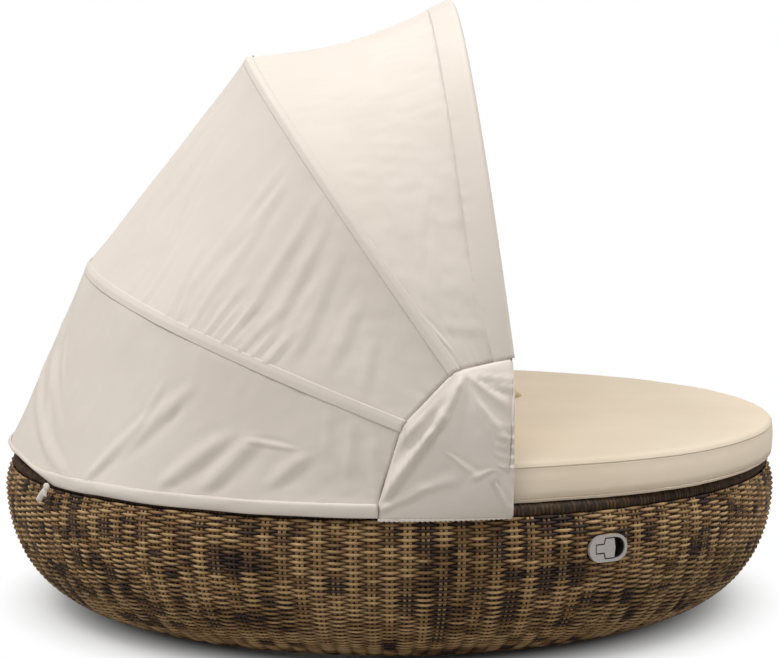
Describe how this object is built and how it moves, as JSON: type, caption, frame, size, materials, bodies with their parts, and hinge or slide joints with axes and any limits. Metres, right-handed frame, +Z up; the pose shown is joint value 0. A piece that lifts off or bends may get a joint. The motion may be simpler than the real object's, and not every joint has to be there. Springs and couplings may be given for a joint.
{
  "type": "outdoor daybed with canopy",
  "caption": "Round woven daybed with a split mattress, a reclining back on a gas strut and a fabric hood on folding bows.",
  "frame": {"origin": "centre of the base on the floor", "axes": "+X points to the open foot end, +Y to the left side of someone facing +X, +Z up"},
  "size_m": [2.006, 2.0218, 1.5483],
  "materials": {
    "wicker": "woven flat resin strand in mixed tan and dark brown",
    "rim_strand": "dark brown wound resin strand",
    "frame": "powder coat, satin",
    "bow": "powder coat, pale, satin",
    "deck": "sealed hardwood slats",
    "cushion": "warm cream woven cover",
    "pillow": "yellowish cream woven cover",
    "canopy": "off-white coated cloth",
    "steel": "zinc plated",
    "strut_body": "black paint",
    "plastic": "black moulded nylon",
    "bezel": "satin silver-grey moulding"
  },
  "bodies": {
    "base": {"wicker_bowl": "wicker", "rim_wrap": "rim_strand", "rear_ledge": "wicker", "top_ring": "frame", "foot_ring": "frame", "rib_1": "frame", "rib_2": "frame", "rib_3": "frame", "rib_4": "frame", "rib_5": "frame", "rib_6": "frame", "hinge_beam": "frame", "front_beam": "frame", "lower_beam": "frame", "glide_1": "plastic", "glide_2": "plastic", "glide_3": "plastic", "glide_4": "plastic", "glide_5": "plastic", "glide_6": "plastic", "seat_deck": "deck", "seat_cushion": "cushion", "hinge_plate_left": "steel", "hinge_plate_right": "steel", "hinge_bolt_left": "steel", "hinge_bolt_right": "steel", "strut_foot_bracket": "steel", "strut_foot_pin": "steel", "hood_bracket_left": "steel", "hood_bracket_right": "steel", "inner_spacer_left": "plastic", "inner_spacer_right": "plastic", "outer_spacer_left": "plastic", "outer_spacer_right": "plastic", "pivot_bolt_left": "steel", "pivot_bolt_right": "steel", "rear_panel": "canopy", "gusset_left": "canopy", "gusset_right": "canopy", "hem_tie_left": "canopy", "hem_tie_right": "canopy", "handle_cup": "plastic", "handle_bezel": "bezel", "paddle_pin": "steel", "paddle_spring": "steel"},
    "backrest": {"back_panel": "deck", "back_cushion": "cushion", "strut_head_bracket": "steel", "flat_pillow": "pillow", "front_pillow": "pillow"},
    "strut_barrel": {"strut_cylinder": "strut_body"},
    "strut_piston": {"strut_rod": "steel"},
    "rear_hoop": {"rear_bow": "bow", "middle_panel": "canopy"},
    "middle_hoop": {"middle_bow": "bow", "front_panel": "canopy"},
    "front_hoop": {"front_bow": "bow"},
    "paddle": {"release_paddle": "bezel"}
  },
  "joints": [
    {"name": "backrest_recline", "type": "hinge", "parent": "base", "child": "backrest", "pos_m": [0.194, 0, 0.474], "axis": [0, 1, 0], "range_deg": [0, 45]},
    {"name": "strut_tilt", "type": "hinge", "parent": "base", "child": "strut_barrel", "pos_m": [0.2, 0, 0.11], "axis": [0, 1, 0], "range_deg": [0, 21.1]},
    {"name": "strut_extend", "type": "slide", "parent": "strut_barrel", "child": "strut_piston", "axis": [-0.8127, 0, 0.5826], "range_m": [0, 0.195]},
    {"name": "hood_fold", "type": "hinge", "parent": "base", "child": "rear_hoop", "pos_m": [0.255, 0, 0.47], "axis": [0, -1, 0], "range_deg": [0, 15.9], "deforming": ["rear_panel", "gusset_left", "gusset_right"]},
    {"name": "middle_bow_fold", "type": "hinge", "parent": "rear_hoop", "child": "middle_hoop", "pos_m": [0.255, 0, 0.47], "axis": [0, -1, 0], "range_deg": [0, 29.1], "deforming": ["middle_panel"]},
    {"name": "front_bow_fold", "type": "hinge", "parent": "middle_hoop", "child": "front_hoop", "pos_m": [0.255, 0, 0.47], "axis": [0, -1, 0], "range_deg": [0, 22.6], "deforming": ["front_panel"]},
    {"name": "paddle_pull", "type": "hinge", "parent": "base", "child": "paddle", "pos_m": [0.45703, -0.88908, 0.282], "axis": [0, 0, -1], "range_deg": [0, 25], "stiffness_Nm_per_rad": 0.4, "springref_deg": -17.19}
  ],
  "couplings": [
    {"joint": "strut_tilt", "follows": "backrest_recline", "ratio": 0.46669},
    {"joint": "strut_extend", "follows": "backrest_recline", "m_per_rad": 0.24698},
    {"joint": "middle_bow_fold", "follows": "hood_fold", "ratio": 1.8239},
    {"joint": "front_bow_fold", "follows": "hood_fold", "ratio": 1.4151}
  ]
}
